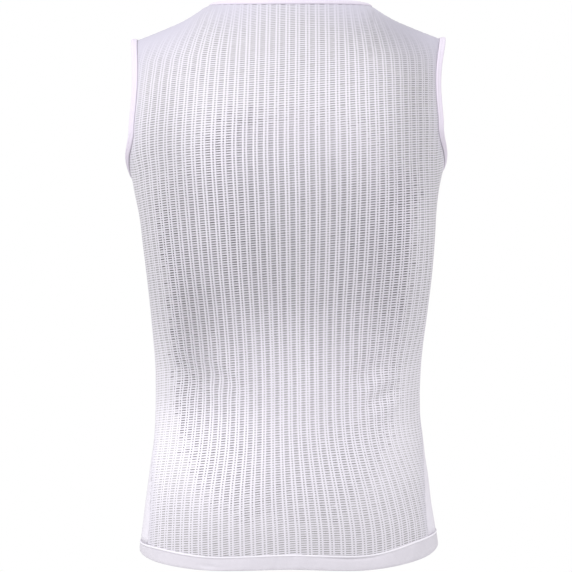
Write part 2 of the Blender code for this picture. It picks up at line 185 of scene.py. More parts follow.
def panel_point(panel, u, v):
    """A point of a panel in mm: u from -1, right edge, to 1; v 0 hem, 1 yoke, 2 neck and shoulder."""
    u, v = np.broadcast_arrays(np.asarray(u, float), np.asarray(v, float))
    height = HEM_SEAM + (YOKE - HEM_SEAM) * np.minimum(v, 1)
    rise_to_top = np.clip(v - 1, 0, 1)
    edge = edge_turn(panel, height)
    turn = u * edge
    around = turn if panel == "back" else np.where(turn >= 0, math.pi - turn, -math.pi - turn)
    x, y = body_point(height, around)
    side = np.sin(turn)
    facing = np.cos(turn) * (1 if panel == "back" else -1)

    top_x = SHOULDER_TIP * side / np.sin(edge)
    out = np.abs(top_x)
    half = np.where(top_x > 0, NECK_HALF["left"], NECK_HALF["right"])
    depth, drop, bend_power, depth_power, height_power = NECK[panel]
    scoop = np.clip(1 - (out / half) ** bend_power, 0, 1)
    ridge = through(RIDGE_OUT, RIDGE_HEIGHT, np.maximum(out, half))
    top_y = SHOULDER_SEAM + (depth - SHOULDER_SEAM) * scoop ** depth_power
    top_z = ridge + (drop - ridge) * scoop ** height_power

    to_shoulder = ease((out / half - CORNER_FROM) / (CORNER_TO - CORNER_FROM))
    at_neck, at_shoulder = TURN_AT_NECK[panel], TURN_AT_SHOULDER[panel]
    bend = np.radians(at_neck + (at_shoulder - at_neck) * to_shoulder)
    rise = np.sin(bend * rise_to_top) / np.sin(bend)
    fall = (np.cos(bend * rise_to_top) - np.cos(bend)) / (1 - np.cos(bend))
    bow = np.where(u > 0, ARMHOLE_BOW["left"], -ARMHOLE_BOW["right"]) * np.abs(u) ** BOW_POWER
    bow = bow * np.sin(math.pi * rise_to_top ** BOW_EARLY) ** 2
    z = height + (top_z - height) * rise
    x = x + (top_x - x) * rise - bow
    y = top_y + (y - top_y) * np.where(v > 1, fall, 1)

    proud = relief(panel, x, z) * (1 - rise_to_top) * (1 - np.abs(u) ** RELIEF_FADES)
    return hung(x + proud * side, y + proud * facing, z, around)


def panel_normal(panel, u, v):
    step = 0.002
    u = np.clip(np.asarray(u, float), -1 + step, 1 - step)
    v = np.clip(np.asarray(v, float), step, 2 - step)
    across = panel_point(panel, u + step, v) - panel_point(panel, u - step, v)
    upward = panel_point(panel, u, v + step) - panel_point(panel, u, v - step)
    return unit(np.cross(upward, across) if panel == "back" else np.cross(across, upward))


def yoke_station(height):
    return (height - HEM_SEAM) / (YOKE - HEM_SEAM)


# How finely the flat knit is laid out on a panel, and how far past its edges
BELOW_HEM = 15
FAR_TURN = 118
TURN_STEPS, HEIGHT_STEPS = 119, 64
LINE_STEPS, RISE_STEPS = 81, 26


def cloth_place(panel, across, up):
    """Where a point of the flat knit comes on the panel, as u and v, past its edges too.

    across is mm of cloth at each height from the middle, up is mm over the neck's zero height,
    counted along the cloth above the yoke.
    """
    height = np.clip(up, HEM_SEAM - BELOW_HEM, YOKE)
    turns = np.radians(np.linspace(-FAR_TURN, FAR_TURN, TURN_STEPS))
    heights = np.linspace(HEM_SEAM - BELOW_HEM, YOKE, HEIGHT_STEPS)
    base = 0.0 if panel == "back" else math.pi
    sign = 1 if panel == "back" else -1
    px, py = body_point(heights[:, None], base + sign * turns[None, :])
    steps = np.hypot(np.diff(px, axis=1), np.diff(py, axis=1))
    arc = np.concatenate([np.zeros((len(heights), 1)), np.cumsum(steps, axis=1)], axis=1)
    arc -= arc[:, [len(turns) // 2]]
    found = np.stack([np.interp(across, arc[k], turns) for k in range(len(heights))])
    place = (height - heights[0]) / (heights[1] - heights[0])
    low = np.clip(place.astype(int), 0, len(heights) - 2)
    share = place - low
    index = np.arange(across.size)
    turn = found[low, index] * (1 - share) + found[low + 1, index] * share
    u = turn / edge_turn(panel, height)

    lines = np.linspace(-1, 1, LINE_STEPS)
    rises = np.linspace(1, 2, RISE_STEPS)
    net = panel_point(panel, lines[:, None], rises[None, :])
    climb = np.linalg.norm(np.diff(net, axis=1), axis=-1)
    climb = np.concatenate([np.zeros((len(lines), 1)), np.cumsum(climb, axis=1)], axis=1)
    spot = np.clip((u + 1) / (lines[1] - lines[0]), 0, len(lines) - 1.001)
    left = spot.astype(int)
    own = climb[left] * (1 - (spot - left))[:, None] + climb[left + 1] * (spot - left)[:, None]
    over = np.maximum(up - YOKE, 0)
    k = np.clip((own < over[:, None]).sum(axis=1) - 1, 0, len(rises) - 2)
    rise = k + (over - own[index, k]) / (own[index, k + 1] - own[index, k])
    v = np.where(up > YOKE, 1 + rise / (len(rises) - 1), yoke_station(up))
    return u, v


# The knit as it lies on the body, by height: width of a repeat, how far its middle line wanders
# to the right, how far it is drawn out at each edge, height of a row, and how far a row drops to
# the left edge, lifts to the right one and sags at both
KNIT_HEIGHT = (-650, -616, -578, -512, -444, -375, -308, -241, -184, -128, -83, 10)
REPEAT = (12.6, 12.48, 11.94, 10.27, 10.02, 10.37, 11.07, 11.46, 11.56, 11.35, 11.25, 11.0)
WANDER = (17.7, 16.5, 13.0, 7.8, 6.9, 5.8, 5.2, 4.5, 3.2, 3.5, 4.2, 4.9)
SPREAD = {"left": (-3, -3, 1, 11, 2, 10, 10, 14, 15, 15, 14, 14),
          "right": (-7, -7, -10, -11, -5, 15, 14.5, 7.5, -3, -1.5, 3, 3)}
ROW = (2.50, 2.52, 2.62, 2.78, 2.80, 2.78, 2.76, 2.75, 2.73, 2.74, 2.74, 2.74)
DROP_LEFT = (-30, -30, -27, -17, -14, -11.5, -10, -8, -3, 0, -3, -4)
LIFT_RIGHT = (-4, -3, 0, 5, 6, 6.5, 12, 18, 23, 25, 26, 26)
EDGE_SAG = (0, 0, 0, 0, 0, 0, 0, 2, 6, 8, 10, 12)
LEAN_HEIGHT = (-100, -70, -45, -20, 20, 60)
LEAN_IN = (0, 3, 12, 23, 36, 42)                     # the edge wales lean in over the shoulders
LEAN_FROM = 0.3
TOP_ROW, UNDER_HEM = 61.1, 50                        # where the rows begin and end
EDGE_REPEATS = 16.0                                  # repeats from the middle to an edge
SPREAD_POWER, SPREAD_ENDS = 3.7, 1.05
COLUMNS_OUT = 23                                     # repeats laid to each side of the middle
SLOT, FULL_WALE, SMALL_HOLE = 0.505, 0.165, 0.155    # widths as shares of a repeat
SLOT_OPEN, SMALL_OPEN = 0.43, 0.47                   # heights of the holes as shares of a row
WALE_PROUD, SECOND_WALE = 0.22, 0.85                 # relief of the first wale, share of the next
SHUT_AT_MIDDLE, SHUT_SOONER, SOONER_BY = 2.35, 0.50, 0.7     # where up the yoke the holes shut
SHUT_OVER, FADES_OVER = 0.25, 0.62                   # over which the holes, and the painted shade where they shut, fade
SHUT_AT_SIDE, SIDE_FROM, SIDE_OVER = 0.3, 0.85, 0.15
UNEVEN = 0.10                                        # spread of the holes' heights
CLOSED = 0.10                                        # below this share there is no hole
WEB_DEEP, WEB_FROM = 0.4, 0.43                       # depth in mm of the fill in holes open from this share
OPEN_MIDDLE, OPEN_TALL, OPEN_WIDE = -371.0, 229.0, 0.62      # the open part's place and half sizes
OPEN_ROUND, OPEN_SPREAD = 3.0, 0.12                  # how round it is, and how ragged its rim
OPEN_BELOW, OPEN_ABOVE = -112.0, -603.0              # heights past which no hole is cut
# Painted shade in soft patches on the back's yarn, and painted light where the share is below nought:
# place, height, half width, half height, and share of its brightness that is lost
PAINTED_LIGHT_AND_SHADE = ((112, -392, 38, 75, 0.26), (138, -235, 45, 75, 0.11), (-148, -121, 30, 75, 0.20),
        (-110, -45, 50, 30, 0.16), (90, -522, 70, 60, -0.14), (-14, -420, 40, 40, -0.05),
        (-110, -350, 30, 80, 0.07), (45, -310, 40, 60, 0.06), (-135, -18, 45, 22, 0.12),
        (165, -560, 25, 90, -0.14), (-158, -290, 22, 90, -0.12), (150, -160, 30, 60, 0.09),
        (105, -450, 50, 32, 0.07), (-137, -217, 28, 40, 0.06), (118, -215, 40, 45, 0.05))


def clear_net(columns, rows):
    """A flat bmesh net of unit faces, with its corners in rows from the bottom right."""
    net = bmesh.new()
    bmesh.ops.create_grid(net, x_segments=columns, y_segments=rows, size=0.5)
    net.verts.ensure_lookup_table()
    net.faces.ensure_lookup_table()
    return net


def lay_net(net, name, points, flat_u, flat_v, outside, facing_back, measures=None, webs=()):
    """Puts a net on its places, drops what lies past the cut, and keeps the flat knit as UVs.

    Each of the measures is kept on the corners by its name. The faces in webs are drawn in
    behind the others.
    """
    for vertex, point in zip(net.verts, points):
        vertex.co = (point + (0, 0, TOP_OVER_SHOULDERS)) * MM
    for measure, amounts in (measures or {}).items():
        layer = net.verts.layers.float.new(measure)
        for vertex, amount in zip(net.verts, amounts):
            vertex[layer] = amount
    flat = net.loops.layers.uv.new("knit")
    for face in net.faces:
        for loop in face.loops:
            loop[flat].uv = (flat_u[loop.vert.index], flat_v[loop.vert.index])
    gone = {face for face in net.faces if any(
        all(side[corner.index] for corner in face.verts) for side in outside)}
    webs = [face for face in webs if face not in gone]
    bmesh.ops.delete(net, geom=list(gone), context="FACES")
    if facing_back:
        bmesh.ops.reverse_faces(net, faces=net.faces)
    if webs:
        net.normal_update()
        bmesh.ops.poke(net, faces=webs, offset=-WEB_DEEP * MM)
    bmesh.ops.dissolve_degenerate(net, dist=TOUCHING, edges=net.edges)
    mesh = bpy.data.meshes.new(name)
    net.to_mesh(mesh)
    net.free()
    mesh.shade_smooth()
    piece = bpy.data.objects.new(name, mesh)
    bpy.context.scene.collection.objects.link(piece)
    return piece


def repeat_lines():
    """The net's lines across one repeat, from the side of a slot to the next slot.

    Each has its place, what lies beyond it, how far it stands out, and how open its holes are.
    """
    half = SLOT / 2
    far_wale = 1 - half
    near_hole = half + FULL_WALE
    return (
        (half, "wale", 0.0, SLOT_OPEN),
        (half + FULL_WALE / 2, "wale", WALE_PROUD, SMALL_OPEN),
        (near_hole, "hole", WALE_PROUD / 2, SMALL_OPEN),
        (near_hole + SMALL_HOLE, "wale", WALE_PROUD / 2, SMALL_OPEN),
        ((near_hole + SMALL_HOLE + far_wale) / 2, "wale", WALE_PROUD * SECOND_WALE, SMALL_OPEN),
        (far_wale, "slot", 0.0, SLOT_OPEN),
    )


line_at, line_kind, line_out, line_open = [], [], [], []
for repeat in range(-COLUMNS_OUT, COLUMNS_OUT):
    for place, kind, out, opening in repeat_lines():
        line_at.append(repeat + place)
        line_kind.append(kind)
        line_out.append(out)
        line_open.append(opening)
line_at, line_out, line_open = np.array(line_at), np.array(line_out), np.array(line_open)

# Rows are counted down from the neck at the middle of the back. Each has two lines: the lower
# edge of its bar and the lower edge of the hole above it.
row_down = [TOP_ROW]
while row_down[-1] > HEM_SEAM - UNDER_HEM:
    row_down.append(row_down[-1] - float(np.interp(row_down[-1], KNIT_HEIGHT, ROW)))
row_height = np.array(row_down[::-1])
rows_of_knit = len(row_height) - 1
row_lines = 2 * rows_of_knit + 1
over_bar = np.arange(row_lines) % 2 == 1
row_at = np.arange(row_lines) // 2


def lay_knit(share_up):
    """Where the net's corners come on the panel, each at a share of its row's height."""
    flat_row = np.repeat(row_at, len(line_at)) + share_up
    height = np.interp(flat_row, np.arange(rows_of_knit + 1), row_height)
    repeat_of = np.tile(line_at, row_lines)
    share = repeat_of / EDGE_REPEATS
    drop = np.interp(height, KNIT_HEIGHT, DROP_LEFT)
    lift = np.interp(height, KNIT_HEIGHT, LIFT_RIGHT)
    near_edge = np.minimum(np.abs(share), SPREAD_ENDS) ** SPREAD_POWER
    sag = np.interp(height, KNIT_HEIGHT, EDGE_SAG) * near_edge
    skewed = height + (drop - lift) / 2 * share + (drop + lift) / 2 * share ** 2 - sag
    width = through(KNIT_HEIGHT, REPEAT, skewed)
    wander = through(KNIT_HEIGHT, WANDER, skewed)
    spread = np.where(share > 0, through(KNIT_HEIGHT, SPREAD["left"], skewed),
                      -through(KNIT_HEIGHT, SPREAD["right"], skewed))
    lean = np.interp(skewed, LEAN_HEIGHT, LEAN_IN) * np.sign(share)
    lean = lean * np.clip((np.abs(share) - LEAN_FROM) / (1 - LEAN_FROM), 0, None)
    across = repeat_of * width - wander + spread * near_edge - lean
    u, v = cloth_place("back", across, skewed)
    return u, v, skewed, repeat_of, flat_row


def how_open(u, v, over=SHUT_OVER):
    """The holes draw shut over the shoulders, and by a part towards the side seams."""
    out = np.abs(u)
    shut_at = SHUT_AT_MIDDLE - SHUT_SOONER * ease(out / SOONER_BY)
    shut = ease((v - shut_at + over) / over)
    return (1 - shut) * (1 - SHUT_AT_SIDE * ease((out - SIDE_FROM) / SIDE_OVER))


def painted_patches_at(x, height):
    """The painted shade of the patches here, with painted light where it is below nought."""
    painted_patch = 0.0
    for place, middle, wide, tall, share in PAINTED_LIGHT_AND_SHADE:
        painted_patch = painted_patch + share * np.exp(-((x - place) / wide) ** 2 - ((height - middle) / tall) ** 2)
    return painted_patch


chance = np.random.default_rng(7)
bar_edge = np.repeat(over_bar, len(line_at))
opening = np.tile(line_open, row_lines)
u, v, height_of, repeat_of, flat_row = lay_knit(np.where(bar_edge, 1 - opening, 0.0))
opening = opening * how_open(u, v) * (1 + UNEVEN * chance.standard_normal(opening.size))
u, v, height_of, repeat_of, flat_row = lay_knit(np.where(bar_edge, 1 - opening, 0.0))

# The holes are cut in the open part of the back. Round it, a sheet fills them, painted dark as the
# shade seen through holes: these faces take the second material, and the wide ones are drawn in.
back_net = clear_net(len(line_at) - 1, row_lines - 1)
holes, webs = [], []
columns = len(line_at) - 1
for index, face in enumerate(back_net.faces):
    column, row = index % columns, index // columns
    if row % 2 == 0 or line_kind[column] == "wale":
        continue
    corner = row * (columns + 1) + column
    if min(opening[corner], opening[corner + 1]) < CLOSED:
        continue
    far = (abs(u[corner]) / OPEN_WIDE) ** OPEN_ROUND
    far += (abs(height_of[corner] - OPEN_MIDDLE) / OPEN_TALL) ** OPEN_ROUND
    far += OPEN_SPREAD * chance.standard_normal()
    if far < 1 and OPEN_ABOVE < height_of[corner] < OPEN_BELOW:
        holes.append(face)
        continue
    face.material_index = 1
    if line_kind[column] == "slot" and opening[corner] > WEB_FROM:
        webs.append(face)
bmesh.ops.delete(back_net, geom=holes, context="FACES_ONLY")
back_net.verts.ensure_lookup_table()

on_u, on_v = np.clip(u, -1, 1), np.clip(v, 0, 2)
points = panel_point("back", on_u, on_v)
out = np.tile(line_out, row_lines)
points = points + panel_normal("back", on_u, on_v) * out[:, None]
outside = (u >= 1, u <= -1, v >= 2, v <= 0)
# The yarn keeps how shut its holes are and its painted patches, for its painted shade and light
measures = {"shut": 1 - how_open(u, v, FADES_OVER), "painted_patch": painted_patches_at(points[:, 0], points[:, 2])}
back_mesh = lay_net(back_net, "back_mesh", points, repeat_of, flat_row, outside, True,
                    measures, webs)


def maths(tree, operation, *values):
    """One Math node: each value is a number or another node's output."""
    node = tree.nodes.new("ShaderNodeMath")
    node.operation = operation
    for socket, value in zip(node.inputs, values):
        if isinstance(value, bpy.types.NodeSocket):
            tree.links.new(value, socket)
        else:
            socket.default_value = value
    return node.outputs["Value"]


def painted_shade_by_height(tree, painted_shade_stops):
    """A painted shade that changes with the height, through pairs of height in mm and tone."""
    place = tree.nodes.new("ShaderNodeTexCoord")
    split = tree.nodes.new("ShaderNodeSeparateXYZ")
    tree.links.new(place.outputs["Object"], split.inputs["Vector"])
    low, high = painted_shade_stops[0][0], painted_shade_stops[-1][0]
    span = (high - low) * MM
    share = maths(tree, "MULTIPLY_ADD", split.outputs["Z"], 1 / span,
                  -(low + TOP_OVER_SHOULDERS) * MM / span)
    ramp = tree.nodes.new("ShaderNodeValToRGB")
    stops = ramp.color_ramp.elements
    while len(stops) < len(painted_shade_stops):
        stops.new(0.5)
    for stop, (height, tone) in zip(stops, painted_shade_stops):
        stop.position = (height - low) / (high - low)
        stop.color = (tone, tone, tone, 1)
    tree.links.new(share, ramp.inputs["Fac"])
    return ramp.outputs["Color"]


def blend(tree, kind, factor, first, second):
    """One colour mix: each of the two is a colour or another node's output."""
    node = tree.nodes.new("ShaderNodeMix")
    node.data_type = "RGBA"
    node.blend_type = kind
    for socket, value in zip((node.inputs["Factor"], node.inputs["A"], node.inputs["B"]),
                             (factor, first, second)):
        if isinstance(value, bpy.types.NodeSocket):
            tree.links.new(value, socket)
        elif socket.type == "RGBA":
            socket.default_value = (*value, 1)
        else:
            socket.default_value = value
    return node.outputs["Result"]


FIBRE_SCALE, FIBRE_DETAIL, FIBRE_HIGH = 1400.0, 3.0, 0.35    # hairs of the yarn
CLOUD_SCALE, CLOUD_DETAIL, CLOUD_TONE = 14.0, 2.0, 0.6       # large uneven patches
STITCH_HIGH = 0.65
BUMP_STRENGTH = 0.6
ROUGH, ROUGH_BY_FIBRE, SHEEN_ROUGH = 0.92, -0.16, 0.5


def knit_material(name, colour, stitch, shift=0.0, groove_shade=0.86, raised=0.25, sheen=0.2,
                  painted_shade_stops=None, painted_patches=False, painted_shade_when_shut=None):
    """Matt polyester in V stitches, their size in the flat cloth's own measure.

    colour is the yarn on its crowns, groove_shade is how much of it is left in the hollows of the
    stitches as painted shade, and raised is how far the crowns stand out, in mm. painted_shade_stops
    give its painted shade by height, painted_patches lays on it the patches of painted shade and
    light, and painted_shade_when_shut is its colour where the net is shut, painted as shade of holes.
    """
    cloth = bpy.data.materials.new(name)
    cloth.use_nodes = True
    tree = cloth.node_tree
    nodes, links = tree.nodes, tree.links
    flat = nodes.new("ShaderNodeUVMap")
    flat.uv_map = "knit"
    split = nodes.new("ShaderNodeSeparateXYZ")
    links.new(flat.outputs["UV"], split.inputs["Vector"])
    wale = maths(tree, "MULTIPLY_ADD", split.outputs["X"], 1 / stitch[0], shift)
    course = maths(tree, "MULTIPLY", split.outputs["Y"], 1 / stitch[1])
    leg = maths(tree, "ABSOLUTE", maths(tree, "SUBTRACT", maths(tree, "FRACT", wale), 0.5))
    crown = maths(tree, "SINE", maths(tree, "MULTIPLY", leg, 2 * math.pi))
    slant = maths(tree, "MULTIPLY", maths(tree, "ADD", course, leg), 2 * math.pi)
    loop = maths(tree, "MULTIPLY_ADD", maths(tree, "SINE", slant), 0.25, 0.75)
    stitches = maths(tree, "MULTIPLY", crown, loop)

    place = nodes.new("ShaderNodeTexCoord")
    fibre = nodes.new("ShaderNodeTexNoise")
    fibre.inputs["Scale"].default_value = FIBRE_SCALE
    fibre.inputs["Detail"].default_value = FIBRE_DETAIL
    links.new(place.outputs["Object"], fibre.inputs["Vector"])
    cloud = nodes.new("ShaderNodeTexNoise")
    cloud.inputs["Scale"].default_value = CLOUD_SCALE
    cloud.inputs["Detail"].default_value = CLOUD_DETAIL
    links.new(place.outputs["Object"], cloud.inputs["Vector"])
    fuzz = maths(tree, "MULTIPLY", fibre.outputs["Fac"], FIBRE_HIGH)
    high = maths(tree, "ADD", maths(tree, "MULTIPLY", stitches, STITCH_HIGH), fuzz)
    patches = maths(tree, "SUBTRACT", cloud.outputs["Fac"], 0.5)
    tone = maths(tree, "MULTIPLY_ADD", patches, CLOUD_TONE, high)

    yarn = colour
    if painted_shade_stops:
        yarn = blend(tree, "MULTIPLY", 1.0, colour, painted_shade_by_height(tree, painted_shade_stops))
    if painted_shade_when_shut:
        closing = nodes.new("ShaderNodeAttribute")
        closing.attribute_name = "shut"
        yarn = blend(tree, "MIX", closing.outputs["Fac"], yarn, painted_shade_when_shut)
    if painted_patches:
        painted_patch = nodes.new("ShaderNodeAttribute")
        painted_patch.attribute_name = "painted_patch"
        left = maths(tree, "SUBTRACT", 1.0, painted_patch.outputs["Fac"])
        yarn = blend(tree, "MULTIPLY", 1.0, yarn, left)
    # Painted shade: the yarn is darker in the hollows of the stitches.
    groove_shade_colour = blend(tree, "MULTIPLY", 1.0, yarn, (groove_shade, groove_shade, groove_shade))
    groove_shaded_colour = blend(tree, "MIX", tone, groove_shade_colour, yarn)
    bump = nodes.new("ShaderNodeBump")
    bump.inputs["Distance"].default_value = raised * MM
    bump.inputs["Strength"].default_value = BUMP_STRENGTH
    links.new(high, bump.inputs["Height"])
    shader = nodes["Principled BSDF"]
    links.new(groove_shaded_colour, shader.inputs["Base Color"])
    links.new(bump.outputs["Normal"], shader.inputs["Normal"])
    links.new(maths(tree, "MULTIPLY_ADD", fibre.outputs["Fac"], ROUGH_BY_FIBRE, ROUGH),
              shader.inputs["Roughness"])
    shader.inputs["Sheen Weight"].default_value = sheen
    shader.inputs["Sheen Roughness"].default_value = SHEEN_ROUGH
    return cloth


YARN = (0.95, 0.915, 1.0)
SHUT_PAINTED_SHADE = (0.60, 0.575, 0.68)      # painted shade where the holes are shut, over the shoulders
# Painted shade by height on the back's yarn: darker through the middle of the back, near the hem and
# over the shoulders
YARN_PAINTED_SHADE = ((-640, 0.80), (-560, 0.88), (-500, 0.91), (-440, 0.91), (-400, 0.87), (-350, 0.78),
              (-298, 0.78), (-244, 0.81), (-190, 0.87), (-136, 0.88), (-80, 0.81), (-30, 0.76),
              (0, 0.74))
BEHIND = (1.0, 0.975, 1.0)           # the front's inside seen through the holes, under painted shade by height
HOLE_FILL = (0.99, 0.955, 1.0)          # sheet that fills the holes along the edges, under its painted shade by height
INSIDE_PAINTED_SHADE = ((-640, 0.53), (-500, 0.62), (-420, 0.53), (-350, 0.37), (-250, 0.37),
                (-180, 0.50), (-120, 0.66), (0, 0.66))
HOLE_FILL_PAINTED_SHADE = ((-640, 0.35), (-600, 0.40), (-520, 0.54), (-450, 0.48), (-400, 0.36), (-350, 0.31),
               (-300, 0.29), (-244, 0.27), (-190, 0.29), (-120, 0.33), (0, 0.31))
WALE_OF_REPEAT, WALE_SHIFT = 0.305, -0.672
# The back's yarn takes painted shade by height, painted shade and light in patches, and painted shade
# where its holes are shut
back_mesh.data.materials.append(knit_material(
    "mesh_yarn_painted_shade", YARN, (WALE_OF_REPEAT, 1.0), WALE_SHIFT, painted_shade_stops=YARN_PAINTED_SHADE, painted_patches=True,
    painted_shade_when_shut=SHUT_PAINTED_SHADE))
# The fill in the uncut holes is painted dark by height: painted shade, as seen through holes
back_mesh.data.materials.append(knit_material(
    "hole_fill_painted_shade", HOLE_FILL, (0.05, 0.5), raised=0.1, painted_shade_stops=HOLE_FILL_PAINTED_SHADE, painted_patches=True,
    painted_shade_when_shut=SHUT_PAINTED_SHADE))
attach(back_mesh, "root")
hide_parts("back_panel")

# --- Front panel --------------------------------------------------------------------------------
# One layer of fine ribbed knit. It wraps round the hips, so its edges show beside the mesh at the
# back, and its inside shows through the holes.
RIB = 2.7
RIB_PROUD = 0.28
FRONT_THICK = 0.8
RIB_ROW, RIB_TOP = 9.0, 60
RIBS_OUT = 104
PAINTED_LIGHT_LEFT, PAINTED_LIGHT_RIGHT, PAINTED_LIGHT_FROM, PAINTED_LIGHT_OVER = 0.34, 0.20, 60.0, 50.0
rib_at = np.arange(-2 * RIBS_OUT, 2 * RIBS_OUT + 1) * RIB / 2
rib_rows = np.arange(HEM_SEAM - RIB_ROW, RIB_TOP, RIB_ROW)
across, up = np.meshgrid(rib_at, rib_rows)
across, up = across.ravel(), up.ravel()
u, v = cloth_place("front", across, up)
front_net = clear_net(len(rib_at) - 1, len(rib_rows) - 1)
on_u, on_v = np.clip(u, -1, 1), np.clip(v, 0, 2)
points = panel_point("front", on_u, on_v)
ridge = np.where(np.arange(len(rib_at)) % 2 == 0, RIB_PROUD, -RIB_PROUD)
points = points + panel_normal("front", on_u, on_v) * np.tile(ridge, len(rib_rows))[:, None]
outside = (u >= 1, u <= -1, v >= 2, v <= 0)
# Its inside is painted paler towards the sides, as painted light, or the holes of the mesh look too
# dark there
painted_light = np.where(points[:, 0] > 0, PAINTED_LIGHT_LEFT, PAINTED_LIGHT_RIGHT)
painted_light = painted_light * ease((np.abs(points[:, 0]) - PAINTED_LIGHT_FROM) / PAINTED_LIGHT_OVER)
front_rib = lay_net(front_net, "front_rib", points, across / RIB, up / RIB, outside, False,
                    {"painted_patch": -painted_light})
RIBBED = (0.93, 0.89, 0.98)
front_rib.data.materials.append(knit_material("ribbed_knit", RIBBED, (1.0, 0.5), groove_shade=0.84))
# Its inside is painted darker by height: painted shade seen through the holes
front_rib.data.materials.append(knit_material(
    "ribbed_knit_inside_painted_shade", BEHIND, (1.0, 0.5), painted_shade_stops=INSIDE_PAINTED_SHADE, painted_patches=True))
layer = front_rib.modifiers.new("layer", "SOLIDIFY")
layer.thickness = FRONT_THICK * MM
layer.offset = -1
layer.material_offset = 1
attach(front_rib, "root")
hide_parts("front_panel")

# --- Armhole and neck bindings ------------------------------------------------------------------
# Strips of soft elastic folded over the cut edges. Each stands off the panel in a line of its
# own, with a groove beside the seam and one row of stitches along its middle.
ARMHOLE_BINDING, NECK_BINDING = 8.0, 5.6
ARMHOLE_FLARE, UNDERARM_FLARE, NECK_FLARE = 0.5, 0.1, 0.35
UNDERARM_REACH = 45.0
BINDING = (0.78, 0.715, 0.83)
# The ditch's floor is painted darker: painted shade in the ditch beside the seam
DITCH_PAINTED_SHADE = (0.42, 0.39, 0.46)
DITCH_OUT, DITCH_FULL, DITCH_UNDERARM = 0.3, 0.85, 1.7
NECK_LAP = 1.0
CROWN, CHANNEL, STITCH_OUT = 1.2, 0.9, 1.0
SMOOTH_PASSES = 6
INSIDE_STEP = 0.03           # how far inside its edge a panel is read for the way to its cloth
CORNER_SWEEP = 1.2           # stations of the neck lie closer towards its corners
THREAD = (0.92, 0.87, 0.95)
STITCH_PITCH, STITCH_LONG, STITCH_THICK = 2.6, 1.9, 0.32


def ring_of_edge(pieces):
    """Joins stretches of panel edge into a closed line with its outward and inward directions."""
    return [np.vstack(group) for group in zip(*pieces)]


def smooth_round(vectors, passes):
    for _ in range(passes):
        vectors = (np.roll(vectors, 1, axis=0) + 2 * vectors + np.roll(vectors, -1, axis=0)) / 4
    return vectors


def band_frame(path, outward, to_cloth, flare):
    """At each station of a seam: the way the band runs out from it, and the way out of its face."""
    along = unit(np.roll(path, -1, axis=0) - np.roll(path, 1, axis=0))
    outward = unit(smooth_round(unit(outward), SMOOTH_PASSES))
    away = np.cross(along, outward)
    away *= np.sign(-(away * to_cloth).sum(axis=1, keepdims=True))
    away = unit(smooth_round(unit(away), SMOOTH_PASSES))
    reach = unit(away + flare * outward)
    face = unit(outward - (outward * reach).sum(axis=1, keepdims=True) * reach)
    return reach, face


def sweep_band(name, path, reach, face, section, strips=1):
    """A closed band: a net rolled into a tube along the seam, its section given at each station.

    The first strips beside the seam take the band's second material.
    """
    stations, corners = len(path), len(section(0))
    net = bmesh.new()
    bmesh.ops.create_grid(net, x_segments=corners, y_segments=stations, size=0.5)
    net.verts.ensure_lookup_table()
    flat = net.loops.layers.uv.new("knit")
    lengths = np.linalg.norm(np.roll(path, -1, axis=0) - path, axis=1)
    run = np.concatenate([[0], np.cumsum(lengths)])
    rings = []
    for station in range(stations + 1):
        k = station % stations
        ring = [path[k] + far * reach[k] + out * face[k] for far, out in section(k)]
        rings.append(ring + ring[:1])
    rings = np.array(rings)
    girth = np.linalg.norm(np.diff(rings, axis=1), axis=-1)
    girth = np.concatenate([np.zeros((stations + 1, 1)), np.cumsum(girth, axis=1)], axis=1)
    for vertex, point in zip(net.verts, rings.reshape(-1, 3)):
        vertex.co = (point + (0, 0, TOP_OVER_SHOULDERS)) * MM
    for part in net.faces:
        part.material_index = 1 if part.index % corners < strips else 0
        for loop in part.loops:
            station, corner = divmod(loop.vert.index, corners + 1)
            loop[flat].uv = (run[station], girth[station, corner])
    bmesh.ops.remove_doubles(net, verts=net.verts, dist=TOUCHING)
    bmesh.ops.recalc_face_normals(net, faces=net.faces)
    mesh = bpy.data.meshes.new(name)
    net.to_mesh(mesh)
    net.free()
    mesh.shade_smooth()
    piece = bpy.data.objects.new(name, mesh)
    bpy.context.scene.collection.objects.link(piece)
    return piece


def binding_section(width, lap, ditches):
    """A ditch beside the seam, a crowned strip with a shallow channel, and a rolled fold.

    The strip covers the panel's edge by lap, and ditches are the ditch's widths by station.
    """
    middle = (width - lap) * 0.5

    def outline(station):
        far = ditches[station] - lap
        return (
            (0.15 - lap, DITCH_OUT), (far, DITCH_OUT), (far + 0.15, 0.6), (far + 0.65, 1.05),
            (far + 1.4, CROWN), (middle - 0.5, CROWN), (middle, CHANNEL), (middle + 0.5, CROWN),
            (width - 1.4, 1.1), (width - 0.5, 0.8), (width, 0.1), (width - 0.3, -0.7),
            (width - 1.2, -1.05), (1.2, -1.1), (0.3, -1.0),
        )

    return outline


